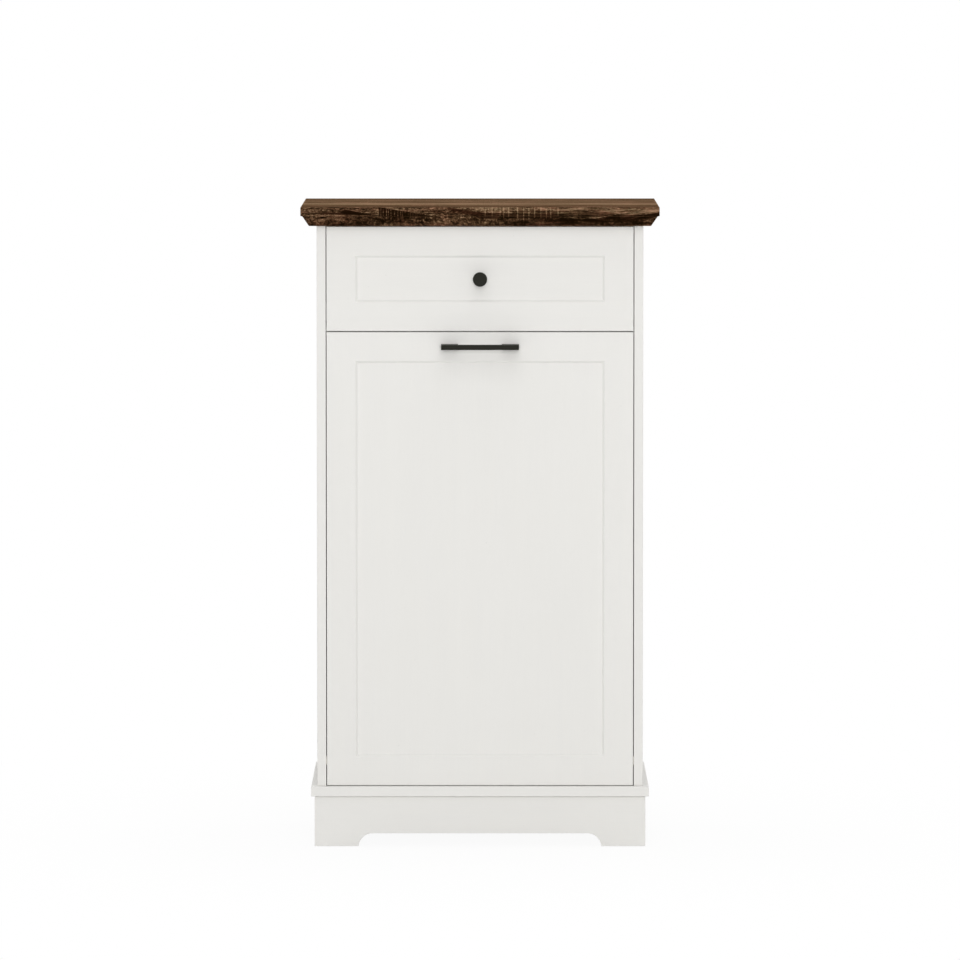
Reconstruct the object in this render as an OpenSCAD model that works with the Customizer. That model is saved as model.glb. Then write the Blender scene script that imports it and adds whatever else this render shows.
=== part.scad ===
// Tilt-out trash cabinet: a slim free-standing cupboard with one drawer over a tall door.
// The door carries a bin rack and tilts forward about two pins at its foot.
// The front faces -Y, +X is to the right and +Z is up. The origin is on the floor, under the middle.

/* [Cabinet] */
// Overall height, floor to the top of the slab
overall_h = 890.5; // [780:0.5:1000]
// Width of the carcass over its side panels
body_w = 453; // [400:1:560]
// Depth of the carcass, front edges to rear edges
body_d = 329; // [310:1:400]
// Thickness of each side panel
side_t = 12.5; // [12:0.5:18]
// Thickness of the inner boards: partition, rails, drawer box and carrier
panel_t = 12; // [12:0.5:16]
// Thickness of the back panel
back_t = 5; // [3:0.5:8]
// Width of the rebate in each side panel that holds the back panel
rebate_w = 6; // [4:0.5:8]
// Width of the two flat rails under the slab
rail_w = 60; // [50:1:80]

/* [Top slab] */
// Thickness of the slab
slab_t = 26.5; // [24:0.5:40]
// Overhang of the slab at the front and at each side
slab_over = 22; // [16:1:28]
// Width of the step between the upright edge and the bevel under it
low_step = 2.4; // [1:0.1:4]
// Width of the bevel along the lower edge
low_bevel_w = 9.2; // [3:0.1:11]
// Height of the bevel along the lower edge
low_bevel_h = 14; // [4:0.5:15]
// Length of the screws that hold the slab
slab_screw_l = 30; // [24:1:34]

/* [Base] */
// Height of the plinth
plinth_h = 70; // [55:1:100]
// Thickness of the base board
base_t = 14; // [12:0.5:20]
// Overhang of the base board past the carcass, at the front and at each side
base_over = 8.5; // [6:0.5:14]
// How far the plinth stands in from the edge of the base board
plinth_inset = 4.8; // [2:0.1:10]
// Thickness of the plinth boards
plinth_t = 15; // [12:0.5:20]
// Width of each foot beside an arch, on the floor
foot_w = 61; // [45:1:80]
// Height of the arches
arch_h = 18; // [10:0.5:24]
// Radius of the arch corners
arch_r = 20; // [12:0.5:28]
// Size of the square blocks glued into the plinth corners
block_w = 28; // [20:1:36]

/* [Fronts] */
// Thickness of the drawer front and of the door
front_t = 15; // [15:0.5:19]
// Gap at each side of the drawer front and the door
side_gap = 1.1; // [1.1:0.1:3]
// Gap between the slab and the drawer front
slab_gap = 1.3; // [1:0.1:3]
// Gap between the drawer front and the door
mid_gap = 1.7; // [1:0.1:3]
// Gap between the door and the base board
foot_gap = 0.9; // [0.9:0.1:3]
// Height of the drawer front
drawer_front_h = 144.6; // [135:0.1:180]
// Width of the frame round the routed panel of each front
frame_w = 40; // [34:0.5:50]
// Depth of the routed panel
recess_d = 3; // [2:0.5:5]
// Width of the sloped wall round the routed panel
recess_slope = 3; // [1:0.5:6]
// Gap between a closed front and the board edges behind it
stop_gap = 1; // [0.5:0.1:2]

/* [Drawer] */
// Height of the drawer sides
drawer_side_h = 100; // [85:1:105]
// Clearance between the partition and the drawer sides
drawer_lift = 10; // [8:0.5:14]
// Thickness of the drawer bottom
bottom_t = 4; // [3:0.5:6]
// Depth of the groove that holds the drawer bottom
groove_d = 5; // [3:0.5:6]
// Height of the drawer bottom above the lower edge of the drawer sides
bottom_rise = 6; // [5:0.5:6.5]
// Clearance round the drawer bottom in its grooves
groove_clear = 0.1; // [0.05:0.05:0.3]

/* [Roller runners] */
// Width between a drawer side and the side panel, taken by one pair of runners
slide_space = 12.5; // [12.5:0.1:14]
// Sheet thickness of the runners
runner_t = 1.2; // [1:0.1:1.4]
// Diameter of the rollers
roller_d = 18; // [14:0.5:19]
// Width of the rollers
roller_w = 6; // [5:0.1:6.2]
// Gap between a roller and the track that it carries or rolls on
roller_gap = 0.3; // [0.2:0.05:0.4]
// Gap between flanges that pass over each other, and above the rear roller
flange_gap = 1; // [0.6:0.1:1.5]
// Gap between a flange edge and the web that it passes
web_gap = 0.7; // [0.5:0.1:1]
// Gap between a roller and the web that carries it
roller_side_gap = 1; // [0.6:0.1:1.2]
// Height of the drawer runner's flange above the lower edge of the drawer side
flange_rise = 22; // [21:0.5:26]
// Length of the leg that wraps under the drawer side
leg_w = 11; // [8:0.5:12]
// Distance of each roller's axle from the end of its runner
axle_end = 14; // [12:0.5:18]
// Length of runner still engaged when the drawer is pulled right out
runner_hold = 90; // [80:1:140]
// Distance of the runners behind the drawer front
runner_set = 2; // [1:0.5:4]
// Room between the rear end of the runners and the back panel
rear_room = 7; // [5:0.5:12]
// Depth of the stop tab at the front end of the case runner's upper flange
tab_h = 6; // [4:0.5:8]
// Diameter of the rivet that a roller turns on
rivet_d = 6; // [5:0.5:8]
// Diameter of the rivet's tail in the web
rivet_tail_d = 4; // [3:0.5:4.5]
// Diameter of the rivet's head
rivet_head_d = 10; // [9:0.5:11]
// Thickness of the rivet's head
rivet_head_t = 0.8; // [0.6:0.1:1]
// Radial clearance of a turning piece on its pin or rivet
running_clear = 0.05; // [0.03:0.01:0.09]

/* [Tilting door] */
// Height of the pivot pins above the lower edge of the door
pivot_rise = 34; // [32:1:40]
// Distance of the pivot pins behind the front of the door
pin_set = 6.5; // [6:0.1:7]
// Diameter of the pivot pins
pin_d = 6; // [5:0.5:7]
// Length of each pin inside the door
pin_embed = 30; // [20:1:40]
// Length of each pin inside its bush
pin_engage = 9; // [6:0.5:9.5]
// Outer diameter of the pivot bushes
bush_d = 10; // [9:0.5:11]
// Length of each bush inside its side panel
bush_l = 10; // [9.5:0.1:11]
// Diameter of the flange of the pivot bushes
bush_flange_d = 14; // [13:0.5:14.5]
// Thickness of the flange of the pivot bushes
bush_flange_t = 0.7; // [0.5:0.1:0.9]
// Angle through which the door tilts
tilt_deg = 35; // [25:1:40]

/* [Bin carrier] */
// Depth of the carrier behind the door
carrier_d = 260; // [230:1:270]
// Height of the carrier sides
carrier_h = 380; // [340:1:440]
// Radius of the upper rear corner of the carrier sides
carrier_corner_r = 90; // [40:1:120]
// Clearance between the base board and the carrier
carrier_lift = 8; // [5:0.5:14]
// Height of the rail across the rear of the carrier
rear_rail_h = 70; // [50:1:100]
// Space between a carrier side and the side panel, where the stay works
stay_space = 9; // [8.5:0.1:12]

/* [Tilt stays] */
// Radius of the stay's slot about the pivot
stay_r = 240; // [225:1:250]
// Width of the stay plate
stay_band_w = 24; // [20:0.5:30]
// Diameter of the eye at each end of the stay plate
stay_eye_d = 28; // [26:0.5:34]
// Thickness of the stay plate
stay_t = 3; // [2:0.1:3.4]
// Distance from each end of the slot to the screw beyond it
stay_end = 20; // [18:0.5:26]
// Angle of the guide stud above the horizontal through the pivot
stud_angle = 73; // [68:0.5:75]
// Diameter of the guide studs
stud_d = 6; // [5:0.5:8]
// Gap between a stud and the slot
stud_clear = 0.3; // [0.2:0.05:0.5]
// Gap between the tip of a stud and the carrier side
stud_tip_gap = 0.6; // [0.4:0.1:1]
// Diameter of the stud's flange
stud_flange_d = 12; // [10:0.5:16]
// Thickness of the stud's flange
stud_flange_t = 2; // [1:0.1:2.4]
// Length of the stud's tail in the side panel
stud_tail_l = 9; // [6:0.5:10]

/* [Handle and knob] */
// Overall length of the door handle
pull_l = 108; // [90:1:160]
// How far the handle stands out of the door
pull_reach = 29; // [29:0.5:40]
// Thickness of the handle's bar, front to back
bar_t = 8; // [6:0.5:10]
// Height of the handle's bar
bar_h = 7; // [6:0.1:10]
// Width of the block at each end of the handle
pull_block_w = 23.6; // [20:0.1:28]
// Distance between the handle's screw holes
pull_holes = 76; // [70:1:96]
// Distance of the handle's middle below the top of the door
pull_drop = 19.8; // [16:0.1:30]
// Diameter of the drawer knob
knob_d = 20; // [16:0.5:32]
// How far the knob stands out of the routed panel
knob_reach = 25; // [18:0.5:32]
// Thickness of the knob's head
knob_head_t = 8; // [5:0.5:12]
// Diameter of the knob's neck
knob_neck_d = 9; // [8:0.5:14]
// Diameter of the knob's foot
knob_foot_d = 13; // [10:0.5:16]
// Radius of the knob's front edge
knob_edge_r = 1.6; // [0.5:0.1:3]
// Diameter of the machine screws that hold the handle and the knob
pull_screw_d = 4; // [3:0.5:5]
// Diameter of their heads
pull_head_d = 8.4; // [7:0.2:10]
// Thickness of their heads
pull_head_t = 2.4; // [1.5:0.1:3]
// Length of screw inside the handle or the knob
pull_screw_in = 9; // [6:0.5:12]

/* [Magnetic catch] */
// Width of the catch body
catch_w = 26; // [24:1:40]
// Depth of the catch body
catch_d = 16; // [12:0.5:24]
// Height of the catch body
catch_h = 12; // [10:0.5:14]
// Width of each screw ear
ear_w = 10; // [9:0.5:14]
// Thickness of the screw ears
ear_t = 2; // [1.5:0.1:3]
// Thickness of each steel pole plate
pole_t = 1.6; // [1:0.1:2]
// Width of each pole plate
pole_w = 20; // [14:0.5:22]
// Length of each pole plate inside the catch body
pole_in = 12; // [8:0.5:14]
// How far the pole plates stand out of the catch body
pole_out = 0.5; // [0.3:0.1:0.8]
// Width of the strike plate
strike_w = 34; // [28:1:44]
// Height of the strike plate
strike_h = 11; // [10:0.5:13]
// Thickness of the strike plate
strike_t = 1.2; // [0.8:0.1:1.5]
// Gap between the pole plates and the strike plate
catch_gap = 0.3; // [0.2:0.05:0.5]

/* [Fasteners] */
// Diameter of the cam locks
cam_d = 12; // [10:0.5:13]
// Height of the cam locks
cam_h = 10; // [9.5:0.1:10.2]
// Distance of each cam from the joint that it pulls together
cam_set = 24; // [18:0.5:30]
// Diameter of the cam bolts
cam_bolt_d = 5; // [4:0.1:5.4]
// Diameter of the cam bolt's neck
cam_neck_d = 3.4; // [2.5:0.1:3.8]
// Length of cam bolt screwed into the mating board
thread_l = 9.5; // [8:0.1:10]
// Diameter of the small wood screws
small_d = 3.5; // [3:0.1:4]
// Diameter of their heads
small_head_d = 7; // [6:0.2:8]
// Thickness of their heads
small_head_t = 1.5; // [1:0.1:1.6]
// Length of the small wood screws under the head
small_l = 10.5; // [9:0.1:11]
// Diameter of the long assembly screws
long_d = 5; // [4:0.1:6]
// Diameter of their sunk heads
long_head_d = 9; // [8:0.2:10]
// Depth of their sunk heads
long_head_t = 4; // [3:0.1:5]
// Length of the long assembly screws
long_l = 45; // [38:1:46]
// Radial clearance of a fixed pin, screw or cam in its hole
hole_clear = 0.1; // [0.05:0.05:0.2]

/* [Hidden] */
$fn = 64;

white = [0.91, 0.91, 0.89];
oak = [0.24, 0.15, 0.1];
raw_board = [0.72, 0.6, 0.45];
black = [0.12, 0.12, 0.11];
steel = [0.7, 0.71, 0.72];
runner_white = [0.86, 0.86, 0.85];
nylon = [0.93, 0.92, 0.88];
grey_plastic = [0.55, 0.55, 0.55];

sides = [-1, 1];
over = 1; // how far a cutter runs past the face that it opens
inner_w = body_w - 2 * side_t;
front_w = inner_w - 2 * side_gap;
reach = max(slab_over, pull_reach);
front_y = (reach - body_d) / 2;
back_y = front_y + body_d;
inner_back_y = back_y - back_t;
fronts_back_y = front_y + front_t;
board_y = fronts_back_y + stop_gap;
base_z = plinth_h + base_t;
case_top_z = overall_h - slab_t;

drawer_top_z = case_top_z - slab_gap;
drawer_low_z = drawer_top_z - drawer_front_h;
door_top_z = drawer_low_z - mid_gap;
door_low_z = base_z + foot_gap;
partition_z = (drawer_low_z + door_top_z) / 2 - panel_t / 2;
rail_z = case_top_z - panel_t;
rail_ys = [board_y, inner_back_y - rail_w];

base_w = body_w + 2 * base_over;
base_y = front_y - base_over;
plinth_w = base_w - 2 * plinth_inset;
plinth_y = base_y + plinth_inset;
plinth_side_l = back_y - plinth_y - plinth_t;

runner_y = fronts_back_y + runner_set;
runner_l = inner_back_y - rear_room - runner_y;
drawer_travel = runner_l - runner_hold;
drawer_w = inner_w - 2 * slide_space;
drawer_z = partition_z + panel_t + drawer_lift;
drawer_l = runner_y + runner_l - fronts_back_y;
bottom_z = drawer_z + bottom_rise;
flange_z = drawer_z + flange_rise;
upper_flange_z = flange_z - flange_gap - runner_t;
track_z = upper_flange_z - flange_gap - roller_d - roller_gap;
case_axle_y = runner_y + axle_end;
case_axle_z = flange_z - roller_gap - roller_d / 2;
drawer_axle_y = runner_y + runner_l - axle_end;
drawer_axle_z = track_z + roller_gap + roller_d / 2;
tab_y = drawer_axle_y - drawer_travel - roller_d / 2 - roller_gap - runner_t;
flange_w = slide_space - runner_t - web_gap;
case_screw_z = drawer_axle_z;
screw_below_flange = 2;
drawer_screw_z = upper_flange_z - small_head_d / 2 - screw_below_flange;
runner_screw_end = 45;
runner_screw_ys = [for (k = [0:2]) runner_y + runner_screw_end + k * (runner_l / 2 - runner_screw_end)];

pivot_y = front_y + pin_set;
pivot_z = door_low_z + pivot_rise;
carrier_w = inner_w - 2 * stay_space;
carrier_z = base_z + carrier_lift;
carrier_inner_w = carrier_w - 2 * panel_t;
rear_rail_top = carrier_z + carrier_h - carrier_corner_r;
stud_hole_d = stud_d + 2 * stud_clear;
slot_relief = 0.1;
slot_low = stud_angle - tilt_deg;
stay_low = slot_low - stay_end * 180 / PI / stay_r;
stay_high = stud_angle + stay_end * 180 / PI / stay_r;
bolt_back = 1.7;
bolt_clear = 0.3;

// Points on a board's face, the face's outward normal, and the way that the bolt runs
partition_cam_inset = 50;
partition_cams = [for (s = sides, y = [board_y + partition_cam_inset, inner_back_y - partition_cam_inset])
    [[s * (inner_w / 2 - cam_set), y, partition_z], [0, 0, -1], [s, 0, 0]]];
rail_cams = [for (s = sides, y = rail_ys)
    [[s * (inner_w / 2 - cam_set), y + rail_w / 2, rail_z], [0, 0, -1], [s, 0, 0]]];
drawer_cam_low = 34;
drawer_cam_top = 24;
drawer_cams_at = [for (s = sides, z = [drawer_z + drawer_cam_low, drawer_z + drawer_side_h - drawer_cam_top])
    [[s * (drawer_w / 2 - panel_t), fronts_back_y + cam_set, z], [-s, 0, 0], [0, -1, 0]]];
carrier_cam_inset = 40;
carrier_cams_at = [for (s = sides, k = [0:2])
    [[s * carrier_inner_w / 2, fronts_back_y + cam_set,
        carrier_z + carrier_cam_inset + k * (carrier_h / 2 - carrier_cam_inset)],
        [-s, 0, 0], [0, -1, 0]]];

// Points under a screw's head and the way that the head faces
slab_screw_x = 110;
slab_screws = [for (s = sides, y = rail_ys) [[s * slab_screw_x, y + rail_w / 2, rail_z], [0, 0, -1]]];
back_screw_x = 150;
back_screws = [for (k = [-1:1], z = [partition_z, rail_z])
    [[k * back_screw_x, back_y - small_head_t, z + panel_t / 2], [0, 1, 0]]];
base_screw_inset = 45;
base_screws = [for (s = sides, k = [0:2])
    [[s * (body_w - side_t) / 2, front_y + base_screw_inset + k * (body_d / 2 - base_screw_inset), plinth_h],
        [0, 0, -1]]];
drawer_screw_inset = 20;
drawer_screws = [for (s = sides, z = [bottom_z + bottom_t + drawer_screw_inset,
    drawer_z + drawer_side_h - drawer_screw_inset])
    [[s * drawer_w / 2, fronts_back_y + drawer_l - panel_t / 2, z], [s, 0, 0]]];
carrier_bottom_screw_inset = 60;
carrier_screws = concat(
    [for (s = sides, y = [fronts_back_y + carrier_bottom_screw_inset,
        fronts_back_y + carrier_d - carrier_bottom_screw_inset])
        [[s * carrier_w / 2, y, carrier_z + panel_t / 2], [s, 0, 0]]],
    [for (s = sides) [[s * carrier_w / 2, fronts_back_y + carrier_d - panel_t / 2,
        rear_rail_top - rear_rail_h / 2], [s, 0, 0]]]);
case_runner_screws = [for (s = sides, y = runner_screw_ys)
    [[s * (inner_w / 2 - runner_t), y, case_screw_z], [-s, 0, 0]]];
drawer_runner_screws = [for (s = sides, y = runner_screw_ys)
    [[s * (drawer_w / 2 + runner_t), y, drawer_screw_z], [s, 0, 0]]];
catch_y = fronts_back_y + strike_t + catch_gap + pole_out;
catch_screws = [for (s = sides)
    [[s * (catch_w + ear_w) / 2, catch_y + catch_d / 2, partition_z - ear_t], [0, 0, -1]]];
strike_z = partition_z - catch_h / 2;
strike_screw = [[0, fronts_back_y + strike_t - small_head_t, strike_z], [0, 1, 0]];
stay_screws = [for (s = sides, a = [stay_low, stay_high])
    [[s * (carrier_w / 2 + stay_t), pivot_y + stay_r * cos(a), pivot_z + stay_r * sin(a)], [s, 0, 0]]];

// Shared shapes

// A block between two opposite corners
module block(a, b) {
    low = [for (i = [0:2]) min(a[i], b[i])];
    high = [for (i = [0:2]) max(a[i], b[i])];
    translate(low) cube(high - low);
}

// Local z along the face's normal and local x along the way given
module aim(at, face, way) {
    c = cross(face, way);
    multmatrix([[way[0], c[0], face[0], at[0]],
        [way[1], c[1], face[1], at[1]],
        [way[2], c[2], face[2], at[2]],
        [0, 0, 0, 1]]) children();
}

module aim_screw(s) {
    aim(s[0], s[1], abs(s[1][2]) > 0.5 ? [1, 0, 0] : [0, 0, 1]) children();
}

// What is drawn for the right-hand side is turned over for the left
module on_side(s) {
    if (s > 0) children();
    else mirror([1, 0, 0]) children();
}

// A flat outline in X and Z, made into a bar along Y
module along_y(y, l) {
    translate([0, y + l, 0]) rotate([90, 0, 0]) linear_extrude(l) children();
}

// A flat outline in Y and Z, made into a bar along X
module along_x(x, l) {
    translate([x, 0, 0]) rotate([90, 0, 90]) linear_extrude(l) children();
}

module ring_sector(r, w, a, b) {
    far = 2 * r;
    intersection() {
        difference() {
            circle(r = r + w / 2, $fn = 180);
            circle(r = r - w / 2, $fn = 180);
        }
        polygon([[0, 0], far * [cos(a), sin(a)], far * [cos((a + b) / 2), sin((a + b) / 2)], far * [cos(b), sin(b)]]);
    }
}

// A front with its routed panel: the pocket is a mitred frustum
module shaker_front(z0, z1) {
    w = front_w;
    difference() {
        block([-w / 2, front_y, z0], [w / 2, fronts_back_y, z1]);
        intersection() {
            along_x(-w / 2, w) polygon([
                [front_y - over, z0 + frame_w - over * recess_slope / recess_d],
                [front_y + recess_d, z0 + frame_w + recess_slope],
                [front_y + recess_d, z1 - frame_w - recess_slope],
                [front_y - over, z1 - frame_w + over * recess_slope / recess_d]]);
            translate([0, 0, z0]) linear_extrude(z1 - z0) polygon([
                [-w / 2 + frame_w - over * recess_slope / recess_d, front_y - over],
                [w / 2 - frame_w + over * recess_slope / recess_d, front_y - over],
                [w / 2 - frame_w - recess_slope, front_y + recess_d],
                [-w / 2 + frame_w + recess_slope, front_y + recess_d]]);
        }
    }
}

// The arch under a plinth board, as a flat outline about its middle
module arch_outline(half) {
    translate([-half + arch_r, arch_h - 2 * arch_r]) square([2 * (half - arch_r), 2 * arch_r]);
    for (s = sides) translate([s * (half - arch_r), arch_h - arch_r]) circle(r = arch_r);
    translate([-half, -over]) square([2 * half, over + max(0, arch_h - arch_r)]);
}

// Fasteners

module cam() {
    difference() {
        translate([0, 0, -cam_h]) cylinder(d = cam_d, h = cam_h);
        translate([-bolt_back - bolt_clear, 0, -panel_t / 2]) rotate([0, 90, 0])
            cylinder(d = cam_bolt_d + 2 * bolt_clear, h = cam_d);
        slot_w = 1.4;
        slot_l = 0.7 * cam_d;
        slot_d = 1.2;
        for (a = [0, 90]) rotate([0, 0, a]) translate([-slot_l / 2, -slot_w / 2, -slot_d])
            cube([slot_l, slot_w, slot_d + over]);
    }
}

module cam_bolt() {
    head_l = 4;
    thread_x = cam_set;
    translate([0, 0, -panel_t / 2]) rotate([0, 90, 0]) {
        translate([0, 0, -bolt_back]) cylinder(d = cam_bolt_d, h = head_l);
        translate([0, 0, -bolt_back]) cylinder(d = cam_neck_d, h = bolt_back + thread_x);
        translate([0, 0, thread_x - head_l]) cylinder(d = cam_bolt_d, h = head_l + thread_l);
    }
}

module cam_cut() {
    translate([0, 0, -cam_h - hole_clear]) cylinder(d = cam_d + 2 * hole_clear, h = cam_h + hole_clear + over);
    translate([0, 0, -panel_t / 2]) rotate([0, 90, 0])
        cylinder(d = cam_bolt_d + 2 * hole_clear, h = cam_set + thread_l + hole_clear);
}

module small_screw() {
    translate([0, 0, -small_l]) cylinder(d = small_d, h = small_l);
    cylinder(d = small_head_d, h = small_head_t);
}

module small_cut() {
    translate([0, 0, -small_l - hole_clear]) cylinder(d = small_d + 2 * hole_clear, h = small_l + hole_clear + over);
}

// The same hole with room for a head that lies flush
module sunk_cut() {
    small_cut();
    translate([0, 0, -hole_clear]) cylinder(d = small_head_d + 2 * hole_clear, h = small_head_t + hole_clear + over);
}

module long_screw(l = long_l) {
    translate([0, 0, -l]) cylinder(d = long_d, h = l);
    translate([0, 0, -long_head_t]) cylinder(d = long_head_d, h = long_head_t);
}

module long_cut(l = long_l) {
    translate([0, 0, -l - hole_clear]) cylinder(d = long_d + 2 * hole_clear, h = l + hole_clear + over);
    translate([0, 0, -long_head_t - hole_clear])
        cylinder(d = long_head_d + 2 * hole_clear, h = long_head_t + hole_clear + over);
}

module cam_cuts(list) {
    for (c = list) aim(c[0], c[1], c[2]) cam_cut();
}

module small_cuts(list) {
    for (s = list) aim_screw(s) small_cut();
}

module sunk_cuts(list) {
    for (s = list) aim_screw(s) sunk_cut();
}

module long_cuts(list, l = long_l) {
    for (s = list) aim_screw(s) long_cut(l);
}

// Carcass

// The slab's front and side edges are upright above, with a step and a bevel below
module top_slab() {
    w = body_w + 2 * slab_over;
    y0 = front_y - slab_over;
    foot = low_step + low_bevel_w;
    step_z = case_top_z + low_bevel_h;
    color(oak) difference() {
        intersection() {
            along_y(y0, back_y - y0) polygon([
                [-w / 2 + foot, case_top_z], [w / 2 - foot, case_top_z], [w / 2 - low_step, step_z],
                [w / 2, step_z], [w / 2, overall_h], [-w / 2, overall_h], [-w / 2, step_z],
                [-w / 2 + low_step, step_z]]);
            along_x(-w / 2, w) polygon([
                [y0 + foot, case_top_z], [back_y, case_top_z], [back_y, overall_h], [y0, overall_h],
                [y0, step_z], [y0 + low_step, step_z]]);
        }
        long_cuts(slab_screws, slab_screw_l);
    }
}

module side_panel(s) {
    difference() {
        block([s * inner_w / 2, front_y, base_z], [s * body_w / 2, back_y, case_top_z]);
        block([s * (inner_w / 2 - over), inner_back_y, base_z - over],
            [s * (inner_w / 2 + rebate_w), back_y + over, case_top_z + over]);
        cam_cuts(concat(partition_cams, rail_cams));
        long_cuts(base_screws);
        small_cuts(case_runner_screws);
        on_side(s) {
            translate([inner_w / 2 - over, pivot_y, pivot_z]) rotate([0, 90, 0])
                cylinder(d = bush_d + 2 * hole_clear, h = over + bush_l + hole_clear);
            translate([inner_w / 2 - over, stud_y(), stud_z()]) rotate([0, 90, 0])
                cylinder(d = stud_d + 2 * hole_clear, h = over + stud_tail_l + hole_clear);
        }
    }
}

function stud_y() = pivot_y + stay_r * cos(stud_angle);
function stud_z() = pivot_z + stay_r * sin(stud_angle);

module side_panel_left() {
    color(white) side_panel(-1);
}

module side_panel_right() {
    color(white) side_panel(1);
}

module back_panel() {
    w = inner_w + 2 * (rebate_w - hole_clear);
    color(raw_board) difference() {
        block([-w / 2, inner_back_y, base_z], [w / 2, back_y, case_top_z]);
        sunk_cuts(back_screws);
    }
}

module base_board() {
    color(white) difference() {
        block([-base_w / 2, base_y, plinth_h], [base_w / 2, back_y, base_z]);
        long_cuts(base_screws);
    }
}

module partition_board() {
    color(white) difference() {
        block([-inner_w / 2, board_y, partition_z], [inner_w / 2, inner_back_y, partition_z + panel_t]);
        cam_cuts(partition_cams);
        small_cuts(concat(catch_screws, back_screws));
    }
}

module top_rail(y) {
    difference() {
        block([-inner_w / 2, y, rail_z], [inner_w / 2, y + rail_w, case_top_z]);
        cam_cuts(rail_cams);
        small_cuts(back_screws);
        long_cuts(slab_screws, slab_screw_l);
    }
}

module top_rail_front() {
    color(white) top_rail(rail_ys[0]);
}

module top_rail_rear() {
    color(white) top_rail(rail_ys[1]);
}

module plinth_front() {
    color(white) difference() {
        block([-plinth_w / 2, plinth_y, 0], [plinth_w / 2, plinth_y + plinth_t, plinth_h]);
        along_y(plinth_y - over, plinth_t + 2 * over) arch_outline(plinth_w / 2 - foot_w);
    }
}

module plinth_side(s) {
    y0 = plinth_y + plinth_t;
    difference() {
        block([s * (plinth_w / 2 - plinth_t), y0, 0], [s * plinth_w / 2, back_y, plinth_h]);
        on_side(s) along_x(plinth_w / 2 - plinth_t - over, plinth_t + 2 * over)
            translate([(plinth_y + back_y) / 2, 0]) arch_outline((back_y - plinth_y) / 2 - foot_w);
    }
}

module plinth_side_left() {
    color(white) plinth_side(-1);
}

module plinth_side_right() {
    color(white) plinth_side(1);
}

module plinth_rear_rail() {
    half = plinth_w / 2 - plinth_t;
    color(raw_board) block([-half, back_y - plinth_t, arch_h], [half, back_y, plinth_h]);
}

module corner_blocks() {
    half = plinth_w / 2 - plinth_t;
    color(raw_board) for (s = sides) {
        block([s * half, plinth_y + plinth_t, arch_h], [s * (half - block_w), plinth_y + plinth_t + block_w, plinth_h]);
        block([s * half, back_y - plinth_t, arch_h], [s * (half - block_w), back_y - plinth_t - block_w, plinth_h]);
    }
}

module case_cams() {
    color(steel) for (c = concat(partition_cams, rail_cams)) aim(c[0], c[1], c[2]) cam();
}

module case_cam_bolts() {
    color(steel) for (c = concat(partition_cams, rail_cams)) aim(c[0], c[1], c[2]) cam_bolt();
}

module case_long_screws() {
    color(steel) {
        for (s = slab_screws) aim_screw(s) long_screw(slab_screw_l);
        for (s = base_screws) aim_screw(s) long_screw();
    }
}

module case_small_screws() {
    color(steel) for (s = concat(case_runner_screws, catch_screws, back_screws)) aim_screw(s) small_screw();
}

// Roller runners

module case_runner(s) {
    wall_x = inner_w / 2;
    web_low = track_z - runner_t;
    difference() {
        on_side(s) {
            along_y(runner_y, runner_l) {
                translate([wall_x - runner_t, web_low]) square([runner_t, upper_flange_z + runner_t - web_low]);
                translate([wall_x - flange_w, web_low]) square([flange_w, runner_t]);
            }
            along_y(tab_y, runner_y + runner_l - tab_y)
                translate([wall_x - flange_w, upper_flange_z]) square([flange_w, runner_t]);
            block([wall_x - flange_w, tab_y, upper_flange_z - tab_h], [wall_x, tab_y + runner_t, upper_flange_z]);
        }
        small_cuts(case_runner_screws);
        on_side(s) translate([wall_x - runner_t - over, case_axle_y, case_axle_z]) rotate([0, 90, 0])
            cylinder(d = rivet_tail_d + 2 * hole_clear, h = runner_t + 2 * over);
    }
}

module case_runner_left() {
    color(runner_white) case_runner(-1);
}

module case_runner_right() {
    color(runner_white) case_runner(1);
}

module drawer_runner(s) {
    web_x = drawer_w / 2;
    difference() {
        on_side(s) along_y(runner_y, runner_l) {
            translate([web_x, drawer_z - runner_t]) square([runner_t, flange_z + 2 * runner_t - drawer_z]);
            translate([web_x - leg_w, drawer_z - runner_t]) square([leg_w + runner_t, runner_t]);
            translate([web_x, flange_z]) square([runner_t + flange_w - web_gap, runner_t]);
        }
        small_cuts(drawer_runner_screws);
        on_side(s) translate([web_x - over, drawer_axle_y, drawer_axle_z]) rotate([0, 90, 0])
            cylinder(d = rivet_tail_d + 2 * hole_clear, h = runner_t + 2 * over);
    }
}

module drawer_runner_left() {
    color(runner_white) drawer_runner(-1);
}

module drawer_runner_right() {
    color(runner_white) drawer_runner(1);
}

// A rivet from the back of its web: the tail, a collar, the part that the roller turns on, and the head
module rivet() {
    collar_w = 1;
    collar_d = rivet_d + 2 * collar_w;
    neck_l = roller_side_gap + roller_w + bolt_clear;
    cylinder(d = rivet_tail_d, h = runner_t);
    translate([0, 0, runner_t]) {
        cylinder(d = rivet_d, h = neck_l);
        cylinder(d = collar_d, h = roller_side_gap - bolt_clear);
        translate([0, 0, neck_l]) cylinder(d = rivet_head_d, h = rivet_head_t);
    }
}

// A roller has a shallow groove round the middle of its tread
module roller() {
    groove_w = 2;
    groove_deep = 0.5;
    tread_w = (roller_w - groove_w) / 2;
    translate([0, 0, runner_t + roller_side_gap]) difference() {
        union() {
            cylinder(d = roller_d, h = tread_w);
            cylinder(d = roller_d - 2 * groove_deep, h = roller_w);
            translate([0, 0, roller_w - tread_w]) cylinder(d = roller_d, h = tread_w);
        }
        translate([0, 0, -over]) cylinder(d = rivet_d + 2 * running_clear, h = roller_w + 2 * over);
    }
}

// The case axle points inwards from the side panel and the drawer axle points outwards from the drawer side
module at_case_axle(s) {
    on_side(s) translate([inner_w / 2, case_axle_y, case_axle_z]) rotate([0, -90, 0]) children();
}

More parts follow.
